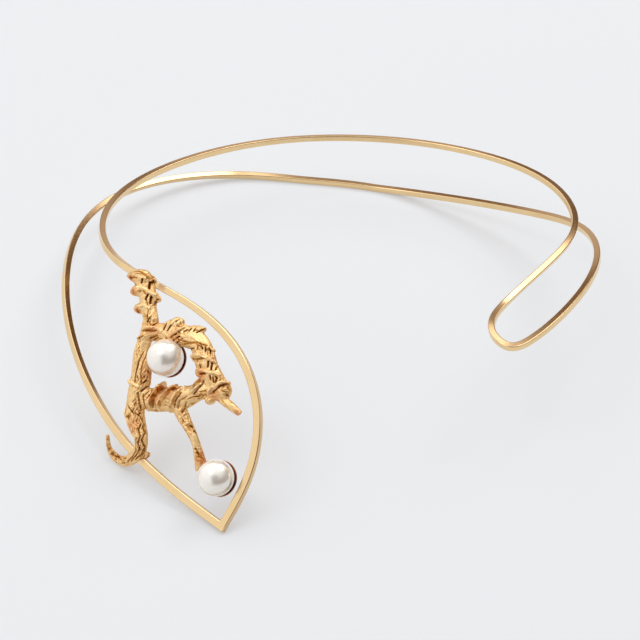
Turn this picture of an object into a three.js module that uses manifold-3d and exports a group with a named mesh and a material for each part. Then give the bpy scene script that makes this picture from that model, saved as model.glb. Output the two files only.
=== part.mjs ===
// A rigid gold neck ring. One closed loop of square wire runs twice round the neck, as an upper and a
// lower row, turns back on itself in a narrow hairpin at the right, and makes a leaf-shaped frame with a
// mitred tip at the front left. A cast branch is soldered across the leaf, with two pearls on pegs in
// thin cups. All the gold is soldered together, so it is one solid.
//
// Frame: millimetres, +Z up, resting on Z = 0. Seen from the front, looking along +Y, +X is to the right.
import * as THREE from "three";
import { mergeVertices } from "three/addons/utils/BufferGeometryUtils.js";
import Module from "manifold-3d";

const wasm = await Module();
wasm.setup();

// ---------------------------------------------------------------- driving sizes

const WIRE_CHAMFER = 0.22;
const WIRE_RING_SPACING = 5;
const WIRE_RING_TURN = 8;
const REST_CONTACT = 0.02;

// The leaf is a flat plane through a point just inside its tip. It faces forward, up and to the left.
const LEAF_ORIGIN = new THREE.Vector3(-22.4, -62.9, 1.5);
const LEAF_FACE_HEADING = -125.5;
const LEAF_FACE_RISE = 43.6;

const LIMB_SIDES = 10;
const LIMB_RING_SPACING = 1.0;
const RIB_RISE = 0.05;
const RIB_PITCH = 2.6;

const PEARL_SIDES = 28;
const PEARL_HOLE_RADIUS = 0.75;
const PEG_RADIUS = 0.45;
const PEG_REACH = 1.2;
const CUP_GAP = 0.22;
const CUP_WALL = 0.3;
const CUP_RIM_ANGLE = 60;

const GOLD = { color: 0xd9a860, roughness: 0.25, metalness: 1 };
const PEARL = { color: 0xf1ece6, roughness: 0.2, metalness: 0 };

// ---------------------------------------------------------------- the leaf's own frame

// Leaf coordinates: across is level, along runs up the slope, lift stands square off the front.
const radians = THREE.MathUtils.degToRad;
const leafFront = new THREE.Vector3(
  Math.cos(radians(LEAF_FACE_RISE)) * Math.cos(radians(LEAF_FACE_HEADING)),
  Math.cos(radians(LEAF_FACE_RISE)) * Math.sin(radians(LEAF_FACE_HEADING)),
  Math.sin(radians(LEAF_FACE_RISE)),
);
const UP = new THREE.Vector3(0, 0, 1);
const leafAcross = UP.clone().cross(leafFront).normalize();
const leafAlong = leafFront.clone().cross(leafAcross);

function fromLeaf(across, along, lift) {
  return LEAF_ORIGIN.clone()
    .addScaledVector(leafAcross, across)
    .addScaledVector(leafAlong, along)
    .addScaledVector(leafFront, lift);
}

// ---------------------------------------------------------------- stations of the wire

// face: the angle of the broad face's normal, in degrees. 0 is level to the left of travel and 90 is up.
// width is across that face, depth is square to it.
const LEAF_RIGHT_ARM = [
  // across, along, face, width, depth
  [-0.2, -0.5, 97, 1.8, 1.5],
  [0.6, 12.2, 85, 1.7, 1.5],
  [-3.0, 24.0, 63, 1.7, 1.5],
  [-11.1, 33.0, 50, 1.7, 1.5],
  [-24.1, 38.6, 44, 1.6, 1.5],
  [-36.9, 40.1, 44, 1.5, 1.5],
];
const COLLAR = [
  // x, y, z, face, width, depth
  [-47.2, -8.4, 30.0, 28, 1.5, 1.5],
  [-52.3, 8.6, 27.0, 12, 1.5, 1.5],
  [-48.6, 27.9, 22.8, 2, 1.5, 1.5],
  [-34.0, 45.6, 19.3, -8, 1.5, 1.5],
  [-13.1, 56.4, 17.1, -14, 1.4, 1.4],
  [13.1, 57.8, 16.7, -14, 1.4, 1.4],
  [37.8, 49.4, 18.0, -8, 1.4, 1.4],
  [54.9, 33.1, 19.8, -4, 1.5, 1.5],
  [58.2, 22.8, 20.5, -8, 1.5, 1.5],
  [57.7, 14.7, 21.3, -12, 1.5, 1.5],
  [50.1, -0.5, 22.8, -16, 1.5, 1.5],
  [39.4, -15.9, 24.0, -10, 1.5, 1.5],
  [35.7, -24.2, 24.4, 8, 1.5, 1.5],
  [36.9, -29.5, 24.5, 8, 1.5, 1.5],
  [39.3, -31.5, 24.5, 7, 1.5, 1.5],
  [44.3, -29.0, 24.6, -2, 1.5, 1.5],
  [48.9, -24.0, 24.6, -9, 1.5, 1.5],
  [54.7, -15.7, 24.3, -12, 1.5, 1.5],
  [61.9, 2.7, 22.2, -14, 1.5, 1.5],
  [60.3, 21.0, 16.8, -10, 1.5, 1.5],
  [51.8, 34.7, 10.5, -4, 1.5, 1.5],
  [33.3, 48.8, 4.4, 0, 1.5, 1.5],
  [12.2, 58.7, 0.75, 0, 1.5, 1.5],
  [-7.0, 62.3, 0.75, 0, 1.5, 1.5],
  [-22.7, 63.6, 1.3, -14, 1.5, 1.5],
  [-45.5, 54.9, 4.8, -28, 1.5, 1.5],
  [-59.3, 35.1, 8.8, -32, 1.5, 1.5],
  [-62.3, 12.6, 9.9, -34, 1.5, 1.5],
  [-59.2, -9.2, 8.9, -36, 1.5, 1.5],
  [-50.7, -31.7, 6.9, -40, 1.6, 1.5],
];
const LEAF_LEFT_ARM = [
  // across, along, face, width, depth
  [-28.3, 5.3, -45, 1.7, 1.5],
  [-14.1, 1.6, -44, 1.8, 1.5],
  [-0.2, -0.5, -44, 1.8, 1.5],
];

// ---------------------------------------------------------------- limbs of the branch

// Each limb is lofted through sections. width is across the limb in the leaf's plane, depth off the plane.
const LIMBS = {
  trunk: [
    // across, along, lift, width, depth
    [-43.3, 40.9, 0.2, 3.2, 2.4],
    [-42.3, 40.1, 0.6, 4.4, 3.2],
    [-40.6, 38.6, 0.9, 4.4, 3.0],
    [-38.9, 36.7, 1.0, 4.2, 3.0],
    [-37.5, 34.7, 1.2, 3.7, 2.8],
    [-36.0, 32.8, 1.3, 3.8, 2.8],
    [-35.2, 30.6, 1.3, 4.2, 3.0],
    [-34.8, 28.6, 1.4, 3.8, 2.8],
  ],
  arch: [
    [-35.4, 30.2, 1.3, 3.4, 2.6],
    [-31.0, 31.6, 1.5, 4.6, 3.2],
    [-26.5, 32.8, 1.7, 5.0, 3.4],
    [-22.4, 32.8, 1.8, 4.7, 3.4],
    [-19.6, 30.6, 1.8, 4.9, 3.6],
    [-17.5, 28.3, 1.7, 5.1, 3.6],
    [-14.6, 26.6, 1.6, 4.8, 3.4],
    [-11.2, 25.4, 1.4, 3.0, 2.6],
  ],
  spike: [
    [-26.4, 33.3, 1.6, 3.0, 2.2],
    [-24.5, 34.5, 1.9, 2.9, 2.0],
    [-23.1, 35.4, 2.0, 2.1, 1.6],
    [-21.9, 36.2, 2.1, 0.8, 0.8],
  ],
  finger: [
    [-13.8, 24.9, 1.5, 2.6, 2.2],
    [-12.0, 24.1, 1.5, 2.0, 1.8],
    [-10.3, 23.7, 1.4, 2.0, 1.8],
    [-8.4, 23.3, 1.2, 1.8, 1.6],
    [-6.6, 22.9, 1.0, 1.3, 1.1],
  ],
  crossbar: [
    [-10.9, 26.0, 1.5, 3.2, 2.6],
    [-13.3, 25.3, 1.5, 4.3, 3.2],
    [-17.0, 23.7, 1.6, 3.7, 3.0],
    [-19.9, 21.1, 1.6, 4.9, 3.4],
    [-22.5, 19.5, 1.6, 5.3, 3.2],
    [-25.4, 18.1, 1.6, 5.4, 2.8],
    [-28.5, 17.0, 1.5, 4.8, 3.0],
    [-31.6, 16.9, 1.4, 3.0, 2.4],
  ],
  leftLimb: [
    [-35.2, 29.0, 1.4, 3.2, 2.6],
    [-34.7, 25.6, 1.5, 3.7, 3.0],
    [-32.9, 22.0, 1.5, 4.7, 3.2],
    [-31.6, 17.9, 1.5, 4.9, 3.4],
    [-30.3, 13.4, 1.5, 4.5, 3.3],
    [-28.5, 10.9, 1.6, 4.4, 3.0],
    [-25.9, 8.4, 1.7, 3.0, 2.7],
    [-25.4, 5.8, 1.3, 3.0, 2.6],
    [-27.2, 3.4, -0.1, 2.7, 2.4],
    [-30.5, 1.7, -2.2, 2.2, 2.06],
    [-33.1, 1.9, -2.4, 1.6, 1.6],
    [-34.8, 3.2, -2.0, 1.2, 1.2],
    [-35.5, 5.6, -0.6, 0.7, 0.7],
  ],
  stem: [
    [-22.4, 19.8, 1.6, 3.2, 2.6],
    [-19.6, 17.6, 1.6, 3.1, 2.4],
    [-17.5, 16.1, 1.5, 2.7, 2.1],
    [-15.6, 14.8, 1.4, 2.3, 1.9],
    [-13.8, 13.3, 1.2, 2.0, 1.8],
    [-12.4, 11.6, 0.8, 2.2, 1.8],
    [-11.1, 9.7, 0.3, 2.9, 1.8],
    [-10.2, 8.2, -0.3, 3.3, 1.4],
  ],
};

// Knobs, flanges and shell-like discs stand proud of the limbs. turn is from across towards along.
const KNOBS = [
  // across, along, lift, turn, long, wide, thick
  [-42.6, 40.2, 0.8, 11, 7.4, 3.0, 4.0],
  [-43.2, 41.0, 0.6, 17, 4.6, 2.2, 3.0],
  [-41.6, 37.4, 1.0, 26, 4.6, 2.4, 3.6],
  [-38.1, 38.0, 1.0, -11, 4.0, 1.7, 3.2],
  [-36.7, 37.5, 1.0, 6, 1.7, 1.7, 2.0],
  [-39.3, 34.2, 1.1, 28, 3.8, 2.6, 3.2],
  [-34.7, 31.2, 1.6, 26, 4.5, 1.1, 3.5],
  [-35.1, 28.9, 1.5, 31, 4.8, 1.5, 3.4],
  [-31.0, 33.1, 1.7, 74, 4.0, 1.9, 2.8],
  [-29.9, 33.8, 1.8, 76, 4.7, 2.0, 2.8],
  [-28.6, 34.2, 1.8, 82, 3.9, 2.0, 2.6],
  [-20.3, 32.7, 1.8, 1, 4.9, 1.0, 4.0],
  [-19.1, 30.5, 1.9, 3, 6.0, 1.0, 4.2],
  [-17.1, 27.9, 1.9, 17, 5.9, 1.0, 4.2],
  [-21.6, 29.5, 1.7, -30, 2.3, 1.6, 2.6],
  [-19.1, 26.9, 1.7, -18, 2.2, 1.7, 2.6],
  [-18.5, 24.3, 1.7, 79, 4.6, 1.0, 4.2],
  [-14.5, 24.9, 1.7, 81, 3.2, 0.9, 4.2],
  [-12.8, 27.2, 1.6, 31, 3.2, 0.9, 3.8],
  [-11.7, 25.8, 1.5, 92, 3.4, 2.6, 3.4],
  [-14.3, 22.6, 1.5, 29, 2.4, 1.8, 2.6],
  [-26.7, 18.3, 1.7, 83, 7.8, 1.1, 5.0],
  [-24.2, 19.0, 1.7, 75, 7.9, 1.1, 5.0],
  [-21.8, 19.6, 1.7, 88, 6.6, 1.1, 4.6],
  [-33.4, 18.7, 1.5, 7, 3.3, 1.0, 3.2],
  [-31.3, 12.6, 1.4, 108, 4.2, 2.6, 3.0],
  [-24.0, 5.6, 0.5, 45, 2.5, 1.3, 1.7],
];

const PEARLS = [
  // name, across, along, lift, radius
  ["upper_pearl", -27.8, 26.8, 3.0, 4.1],
  ["lower_pearl", -5.1, 8.5, 2.4, 4.0],
];

// ---------------------------------------------------------------- the springy curve through stations

// The smoothest curve through a table's rows: a natural cubic spline in every column, with the distance
// between rows as its parameter. The first three columns are a place in space.
function springLine(rows) {
  const knots = [0];
  for (let i = 1; i < rows.length; i += 1) {
    const [a, b] = [rows[i - 1], rows[i]];
    knots.push(knots[i - 1] + Math.hypot(b[0] - a[0], b[1] - a[1], b[2] - a[2]));
  }
  const bends = rows[0].map((_, column) => naturalBends(knots, rows.map((row) => row[column])));
  const at = (t) => {
    let i = knots.findIndex((knot) => knot > t) - 1;
    if (i < 0) i = knots.length - 2;
    const span = knots[i + 1] - knots[i];
    const b = (t - knots[i]) / span;
    const a = 1 - b;
    return rows[i].map((value, column) => {
      const bend = bends[column];
      const straight = a * value + b * rows[i + 1][column];
      return straight + ((a ** 3 - a) * bend[i] + (b ** 3 - b) * bend[i + 1]) * span * span / 6;
    });
  };
  return { knots, at, length: knots[knots.length - 1] };
}

// Second derivatives of a natural cubic spline, from the usual three-term equations.
function naturalBends(knots, values) {
  const last = knots.length - 1;
  const upper = new Array(last + 1).fill(0);
  const bends = new Array(last + 1).fill(0);
  for (let i = 1; i < last; i += 1) {
    const before = knots[i] - knots[i - 1];
    const after = knots[i + 1] - knots[i];
    const slopeChange = (values[i + 1] - values[i]) / after - (values[i] - values[i - 1]) / before;
    const pivot = 2 * (before + after) - before * upper[i - 1];
    upper[i] = after / pivot;
    bends[i] = (6 * slopeChange - before * bends[i - 1]) / pivot;
  }
  for (let i = last - 1; i > 0; i -= 1) {
    bends[i] -= upper[i] * bends[i + 1];
  }
  return bends;
}

function placeOn(line, t) {
  return new THREE.Vector3(...line.at(t).slice(0, 3));
}

function directionOn(line, t) {
  const small = 0.01;
  const from = placeOn(line, Math.max(t - small, 0));
  return placeOn(line, Math.min(t + small, line.length)).sub(from).normalize();
}

// ---------------------------------------------------------------- solids

// A loft through rings of equal size, with a fan at each end if it is capped.
function loft(rings, capped) {
  const sides = rings[0].length;
  const points = rings.flat();
  const triangles = [];
  for (let r = 0; r < rings.length - 1; r += 1) {
    for (let s = 0; s < sides; s += 1) {
      const a = r * sides + s;
      const b = r * sides + ((s + 1) % sides);
      triangles.push(a, b, b + sides, a, b + sides, a + sides);
    }
  }
  if (capped) {
    for (const [ring, isStart] of [[0, true], [rings.length - 1, false]]) {
      const centre = new THREE.Vector3();
      rings[ring].forEach((point) => centre.addScaledVector(point, 1 / sides));
      points.push(centre);
      for (let s = 0; s < sides; s += 1) {
        const a = ring * sides + s;
        const b = ring * sides + ((s + 1) % sides);
        triangles.push(points.length - 1, ...(isStart ? [b, a] : [a, b]));
      }
    }
  }
  const geometry = new THREE.BufferGeometry().setFromPoints(points);
  geometry.setIndex(triangles);
  return geometry;
}

// A closed geometry as a solid: shared corners merged, slivers dropped, faces turned out.
function solidOf(geometry) {
  const bare = geometry.clone();
  bare.deleteAttribute("normal");
  bare.deleteAttribute("uv");
  const merged = mergeVertices(bare, 1e-4);
  const place = merged.getAttribute("position");
  const corner = (i) => new THREE.Vector3().fromBufferAttribute(place, i);
  const faces = [];
  let volume = 0;
  for (let i = 0; i < merged.index.count; i += 3) {
    const [a, b, c] = [0, 1, 2].map((k) => merged.index.getX(i + k));
    if (a === b || b === c || a === c) continue;
    faces.push([a, b, c]);
    volume += corner(a).dot(corner(b).cross(corner(c)));
  }
  const triangles = faces.flatMap(([a, b, c]) => (volume > 0 ? [a, b, c] : [a, c, b]));
  const mesh = new wasm.Mesh({
    numProp: 3,
    vertProperties: new Float32Array(place.array),
    triVerts: new Uint32Array(triangles),
  });
  return new wasm.Manifold(mesh);
}

function geometryOf(solid) {
  const mesh = solid.getMesh();
  const geometry = new THREE.BufferGeometry();
  geometry.setAttribute("position", new THREE.BufferAttribute(new Float32Array(mesh.vertProperties), 3));
  geometry.setIndex(Array.from(mesh.triVerts));
  geometry.computeVertexNormals();
  return geometry;
}

// ---------------------------------------------------------------- the wire

// The eight corners of a square section with its edges taken off, as parts of width and depth.
function wireSection(width, depth) {
  const w = width / 2;
  const d = depth / 2;
  const c = WIRE_CHAMFER;
  return [[d, w - c], [d - c, w], [c - d, w], [-d, w - c], [-d, c - w], [c - d, -w], [d - c, -w], [d, c - w]];
}

function wireRing(centre, face, side, width, depth) {
  return wireSection(width, depth).map(([off, across]) => centre.clone()
    .addScaledVector(face, off)
    .addScaledVector(side, across));
}

function neckWire() {
  const rows = [
    ...LEAF_RIGHT_ARM.map(([across, along, ...rest]) => [...fromLeaf(across, along, 0), ...rest]),
    ...COLLAR,
    ...LEAF_LEFT_ARM.map(([across, along, ...rest]) => [...fromLeaf(across, along, 0), ...rest]),
  ];
  const line = springLine(rows);
  const rings = [];
  for (let i = 0; i < rows.length - 1; i += 1) {
    const span = line.knots[i + 1] - line.knots[i];
    const turn = directionOn(line, line.knots[i]).angleTo(directionOn(line, line.knots[i + 1]));
    const steps = Math.max(Math.ceil(span / WIRE_RING_SPACING), Math.ceil(turn / radians(WIRE_RING_TURN)));
    for (let k = 0; k < steps; k += 1) {
      const t = line.knots[i] + span * k / steps;
      if (t === 0) continue;
      const [x, y, height, freeFace, width, depth] = line.at(t);
      // Where the wire meets the surface it lies level on its lower face.
      const rests = height <= depth / 2 + REST_CONTACT;
      const z = rests ? depth / 2 : height;
      const faceAngle = rests ? 0 : freeFace;
      const along = directionOn(line, t);
      const left = UP.clone().cross(along).normalize();
      const above = along.clone().cross(left);
      const face = left.multiplyScalar(Math.cos(radians(faceAngle)))
        .addScaledVector(above, Math.sin(radians(faceAngle)));
      const side = along.clone().cross(face);
      rings.push(wireRing(new THREE.Vector3(x, y, z), face, side, width, depth));
    }
  }
  // The mitre at the leaf's tip. The wire comes back to it half a turn round, so the last ring repeats
  // the first one's corners, shifted by half.
  const rightSide = directionOn(line, 0).cross(leafFront);
  const leftSide = directionOn(line, line.length).cross(leafFront);
  const mitre = rightSide.clone().add(leftSide).divideScalar(1 + rightSide.dot(leftSide));
  const tip = wireRing(placeOn(line, 0), leafFront, mitre, rows[0][4], rows[0][5]);
  const half = tip.length / 2;
  const shifted = tip.map((_, i) => tip[(i + half) % tip.length]);
  return solidOf(loft([tip, ...rings, shifted], false));
}

// ---------------------------------------------------------------- the cast branch

// One limb: oval sections square to its run, with low ribs that wind round it.
function limb(rows) {
  const line = springLine(rows);
  const steps = Math.ceil(line.length / LIMB_RING_SPACING);
  const rings = [];
  for (let k = 0; k <= steps; k += 1) {
    const t = line.length * k / steps;
    const [across, along, lift, width, depth] = line.at(t);
    const centre = fromLeaf(across, along, lift);
    const before = fromLeaf(...line.at(Math.max(t - 0.05, 0)).slice(0, 3));
    const after = fromLeaf(...line.at(Math.min(t + 0.05, line.length)).slice(0, 3));
    const run = after.sub(before).normalize();
    const side = leafFront.clone().cross(run).normalize();
    const front = run.clone().cross(side);
    const ring = [];
    for (let s = 0; s < LIMB_SIDES; s += 1) {
      const angle = 2 * Math.PI * s / LIMB_SIDES;
      const rib = 1 + RIB_RISE * Math.cos(2 * angle + 2 * Math.PI * t / RIB_PITCH);
      ring.push(centre.clone()
        .addScaledVector(side, Math.cos(angle) * rib * width / 2)
        .addScaledVector(front, Math.sin(angle) * rib * depth / 2));
    }
    rings.push(ring);
  }
  return solidOf(loft(rings, true));
}

// A knob, flange or disc: a rounded lump, long one way in the leaf's plane and thin the other way.
function knob([across, along, lift, turn, long, wide, thick]) {
  const lump = new THREE.SphereGeometry(0.5, 10, 6);
  const a = radians(turn);
  const longWay = leafAcross.clone().multiplyScalar(Math.cos(a)).addScaledVector(leafAlong, Math.sin(a));
  const wideWay = leafFront.clone().cross(longWay);
  lump.applyMatrix4(new THREE.Matrix4()
    .makeBasis(longWay.multiplyScalar(long), wideWay.multiplyScalar(wide), leafFront.clone().multiplyScalar(thick))
    .setPosition(fromLeaf(across, along, lift)));
  return solidOf(lump);
}

// ---------------------------------------------------------------- pearls and their cups

// Points of a circle about the pearl's centre. Angles are from straight behind the pearl, in degrees.
function arc(radius, from, to, steps) {
  const points = [];
  for (let i = 0; i <= steps; i += 1) {
    const angle = radians(from + (to - from) * i / steps);
    points.push(new THREE.Vector2(radius * Math.sin(angle), -radius * Math.cos(angle)));
  }
  points[0].x = from === 0 ? 0 : points[0].x;
  points[steps].x = to === 180 ? 0 : points[steps].x;
  return points;
}

// Turned about the pearl's own axis, which stands square off the leaf's front.
function turnedAt([, across, along, lift], profile) {
  const turned = new THREE.LatheGeometry(profile, PEARL_SIDES);
  const across3 = leafAcross.clone();
  turned.applyMatrix4(new THREE.Matrix4()
    .makeBasis(across3, leafFront, across3.clone().cross(leafFront))
    .setPosition(fromLeaf(across, along, lift)));
  return turned;
}

function cupWithPeg(pearl) {
  const radius = pearl[4];
  const inside = radius + CUP_GAP;
  const pegAngle = THREE.MathUtils.radToDeg(Math.asin(PEG_RADIUS / inside));
  const profile = [
    ...arc(inside + CUP_WALL, 0, CUP_RIM_ANGLE, 8),
    ...arc(inside, CUP_RIM_ANGLE, pegAngle, 8),
    new THREE.Vector2(PEG_RADIUS, PEG_REACH - radius),
    new THREE.Vector2(0, PEG_REACH - radius),
  ];
  return solidOf(turnedAt(pearl, profile));
}

// A round pearl, with a blind hole up its back for the peg.
function pearlGeometry(pearl) {
  const radius = pearl[4];
  const holeTop = PEG_REACH + PEARL_HOLE_RADIUS - PEG_RADIUS - radius;
  const mouth = THREE.MathUtils.radToDeg(Math.asin(PEARL_HOLE_RADIUS / radius));
  const profile = [
    new THREE.Vector2(0, holeTop),
    new THREE.Vector2(PEARL_HOLE_RADIUS, holeTop),
    ...arc(radius, mouth, 180, 16),
  ];
  return geometryOf(solidOf(turnedAt(pearl, profile)));
}

// ---------------------------------------------------------------- the assembly

function named(name, geometry, look) {
  const mesh = new THREE.Mesh(geometry, new THREE.MeshStandardMaterial(look));
  mesh.name = name;
  return mesh;
}

// Everything of gold is soldered into one solid. The pearls' own room is cut out of it.
function goldSolid() {
  const pieces = [
    neckWire(),
    ...Object.values(LIMBS).map(limb),
    ...KNOBS.map(knob),
  ];
  let gold = pieces.reduce((whole, piece) => whole.add(piece));
  for (const pearl of PEARLS) {
    const room = arc(pearl[4] + CUP_GAP, 0, 180, 18);
    gold = gold.subtract(solidOf(turnedAt(pearl, room)));
  }
  return PEARLS.map(cupWithPeg).reduce((whole, cup) => whole.add(cup), gold);
}

const neckRing = new THREE.Group();
neckRing.add(named("gold_neck_ring", geometryOf(goldSolid()), GOLD));
for (const pearl of PEARLS) {
  neckRing.add(named(pearl[0], pearlGeometry(pearl), PEARL));
}

export default neckRing;
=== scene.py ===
# %% [markdown]
# # A gold neck ring with a cast branch and pearls
# The neck ring is one closed loop of square gold wire. It passes twice round the neck, turns back in a
# hairpin at the right, and makes a leaf-shaped frame at the front left. A branch cast in gold is
# soldered across the leaf, and two pearls sit in thin cups on it. The solids already hold every main
# size. This lesson dresses them: each piece is built again, finer, from the same few stations.

import bmesh
import bpy
import numpy as np
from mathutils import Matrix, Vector


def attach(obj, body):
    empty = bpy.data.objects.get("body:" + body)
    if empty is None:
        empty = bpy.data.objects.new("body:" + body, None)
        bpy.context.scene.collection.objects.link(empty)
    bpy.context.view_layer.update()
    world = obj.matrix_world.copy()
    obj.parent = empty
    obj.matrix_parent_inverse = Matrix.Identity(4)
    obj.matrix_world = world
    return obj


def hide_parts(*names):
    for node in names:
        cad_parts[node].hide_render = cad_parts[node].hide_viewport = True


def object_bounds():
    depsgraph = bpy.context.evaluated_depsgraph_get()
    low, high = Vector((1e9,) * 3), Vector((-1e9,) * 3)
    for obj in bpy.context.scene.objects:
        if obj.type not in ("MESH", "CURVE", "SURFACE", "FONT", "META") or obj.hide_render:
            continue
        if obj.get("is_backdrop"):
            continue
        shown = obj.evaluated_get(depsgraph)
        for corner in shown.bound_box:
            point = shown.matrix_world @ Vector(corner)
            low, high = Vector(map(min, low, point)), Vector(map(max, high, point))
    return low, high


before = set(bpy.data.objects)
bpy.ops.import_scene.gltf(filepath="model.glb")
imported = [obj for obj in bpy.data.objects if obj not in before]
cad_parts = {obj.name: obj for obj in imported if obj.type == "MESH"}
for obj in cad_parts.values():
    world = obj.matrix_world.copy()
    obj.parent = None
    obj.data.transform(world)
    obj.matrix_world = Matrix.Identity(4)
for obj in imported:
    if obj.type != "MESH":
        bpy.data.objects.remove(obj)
cad_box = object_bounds()
MM = 0.001
print("solids:", sorted(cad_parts))
print("their box in mm:", [[round(v / MM, 2) for v in corner] for corner in cad_box])

# %% [markdown]
# ## A springy curve
# A wire that is bent by hand runs in smooth curves between the places where it was held. A natural
# cubic spline does the same: it passes through every station and bends as little as it can. A Blender
# curve object could hold the path, but its width, depth and twist have to follow the same stations, so
# the spline is worked out here for every column of a table at once.

# %% Spline through a table of stations
class SpringLine:
    """The smoothest curve through a table's rows. The first three columns are a place, in mm."""

    def __init__(self, rows):
        self.rows = np.array(rows, float)
        steps = np.linalg.norm(np.diff(self.rows[:, :3], axis=0), axis=1)
        self.knots = np.concatenate([[0.0], np.cumsum(steps)])
        self.length = self.knots[-1]
        count = len(rows)
        matrix = np.eye(count)
        right = np.zeros_like(self.rows)
        for i in range(1, count - 1):
            before, after = steps[i - 1], steps[i]
            matrix[i, i - 1 : i + 2] = before, 2 * (before + after), after
            slopes = np.diff(self.rows[i - 1 : i + 2], axis=0) / [[before], [after]]
            right[i] = 6 * (slopes[1] - slopes[0])
        self.bends = np.linalg.solve(matrix, right)

    def at(self, places):
        """Every column at these distances along the line."""
        places = np.clip(np.atleast_1d(places), 0, self.length)
        i = np.clip(np.searchsorted(self.knots, places, side="right") - 1, 0, len(self.rows) - 2)
        span = self.knots[i + 1] - self.knots[i]
        b = ((places - self.knots[i]) / span)[:, None]
        a = 1 - b
        bow = (a**3 - a) * self.bends[i] + (b**3 - b) * self.bends[i + 1]
        return a * self.rows[i] + b * self.rows[i + 1] + bow * (span**2)[:, None] / 6

    def direction(self, places):
        """The way the line runs at these distances, as unit vectors."""
        places = np.atleast_1d(places)
        reach = 0.01
        run = self.at(places + reach)[:, :3] - self.at(places - reach)[:, :3]
        return unit(run)


def unit(vectors):
    return vectors / np.linalg.norm(vectors, axis=-1, keepdims=True)


# %% [markdown]
# ## The leaf's own frame
# The leaf and the branch are flat work: they were laid out on a bench and soldered there, and only then
# tilted up to lie on the chest. Sizes in that flat plane are easier to read, so they are given as
# across, along and lift, and one function turns them into places in the room.

# %% Leaf coordinates
UP = np.array([0.0, 0.0, 1.0])
LEAF_ORIGIN = np.array([-22.4, -62.9, 1.5])
LEAF_FACE_HEADING = np.radians(-125.5)
LEAF_FACE_RISE = np.radians(43.6)
leaf_front = np.array([
    np.cos(LEAF_FACE_RISE) * np.cos(LEAF_FACE_HEADING),
    np.cos(LEAF_FACE_RISE) * np.sin(LEAF_FACE_HEADING),
    np.sin(LEAF_FACE_RISE),
])
leaf_across = unit(np.cross(UP, leaf_front))
leaf_along = np.cross(leaf_front, leaf_across)
LEAF_AXES = np.array([leaf_across, leaf_along, leaf_front])


def from_leaf(places):
    """Places given as across, along and lift, in mm, turned into x, y and z."""
    return LEAF_ORIGIN + np.asarray(places, float) @ LEAF_AXES


print("the leaf faces", np.round(leaf_front, 3))

# %% [markdown]
# ## The neck wire
# Square wire is drawn through a die, so its section is a square with small rounded edges. On the leaf
# it is a little wider than deep. A curve with a bevel would twist it freely. Here the twist is part of
# the making: each station gives the angle of the wire's broad face, so every ring of the sweep is
# turned to that angle, and the long polished faces catch the light as the real ones do.

# %% Stations of the wire
# face is the angle of the broad face's normal in degrees: 0 is level to the left of travel, 90 is up.
LEAF_RIGHT_ARM = [
    # across, along, face, width, depth
    [-0.2, -0.5, 97, 1.8, 1.5],
    [0.6, 12.2, 85, 1.7, 1.5],
    [-3.0, 24.0, 63, 1.7, 1.5],
    [-11.1, 33.0, 50, 1.7, 1.5],
    [-24.1, 38.6, 44, 1.6, 1.5],
    [-36.9, 40.1, 44, 1.5, 1.5],
]
COLLAR = [
    # x, y, z, face, width, depth
    [-47.2, -8.4, 30.0, 28, 1.5, 1.5],
    [-52.3, 8.6, 27.0, 12, 1.5, 1.5],
    [-48.6, 27.9, 22.8, 2, 1.5, 1.5],
    [-34.0, 45.6, 19.3, -8, 1.5, 1.5],
    [-13.1, 56.4, 17.1, -14, 1.4, 1.4],
    [13.1, 57.8, 16.7, -14, 1.4, 1.4],
    [37.8, 49.4, 18.0, -8, 1.4, 1.4],
    [54.9, 33.1, 19.8, -4, 1.5, 1.5],
    [58.2, 22.8, 20.5, -8, 1.5, 1.5],
    [57.7, 14.7, 21.3, -12, 1.5, 1.5],
    [50.1, -0.5, 22.8, -16, 1.5, 1.5],
    [39.4, -15.9, 24.0, -10, 1.5, 1.5],
    [35.7, -24.2, 24.4, 8, 1.5, 1.5],
    [36.9, -29.5, 24.5, 8, 1.5, 1.5],
    [39.3, -31.5, 24.5, 7, 1.5, 1.5],
    [44.3, -29.0, 24.6, -2, 1.5, 1.5],
    [48.9, -24.0, 24.6, -9, 1.5, 1.5],
    [54.7, -15.7, 24.3, -12, 1.5, 1.5],
    [61.9, 2.7, 22.2, -14, 1.5, 1.5],
    [60.3, 21.0, 16.8, -10, 1.5, 1.5],
    [51.8, 34.7, 10.5, -4, 1.5, 1.5],
    [33.3, 48.8, 4.4, 0, 1.5, 1.5],
    [12.2, 58.7, 0.75, 0, 1.5, 1.5],
    [-7.0, 62.3, 0.75, 0, 1.5, 1.5],
    [-22.7, 63.6, 1.3, -14, 1.5, 1.5],
    [-45.5, 54.9, 4.8, -28, 1.5, 1.5],
    [-59.3, 35.1, 8.8, -32, 1.5, 1.5],
    [-62.3, 12.6, 9.9, -34, 1.5, 1.5],
    [-59.2, -9.2, 8.9, -36, 1.5, 1.5],
    [-50.7, -31.7, 6.9, -40, 1.6, 1.5],
]
LEAF_LEFT_ARM = [
    # across, along, face, width, depth
    [-28.3, 5.3, -45, 1.7, 1.5],
    [-14.1, 1.6, -44, 1.8, 1.5],
    [-0.2, -0.5, -44, 1.8, 1.5],
]


def in_the_room(arm):
    return [[*from_leaf([across, along, 0.0]), *rest] for across, along, *rest in arm]


wire_rows = in_the_room(LEAF_RIGHT_ARM) + COLLAR + in_the_room(LEAF_LEFT_ARM)
wire_line = SpringLine(wire_rows)
print("wire length in mm:", round(wire_line.length))

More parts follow.
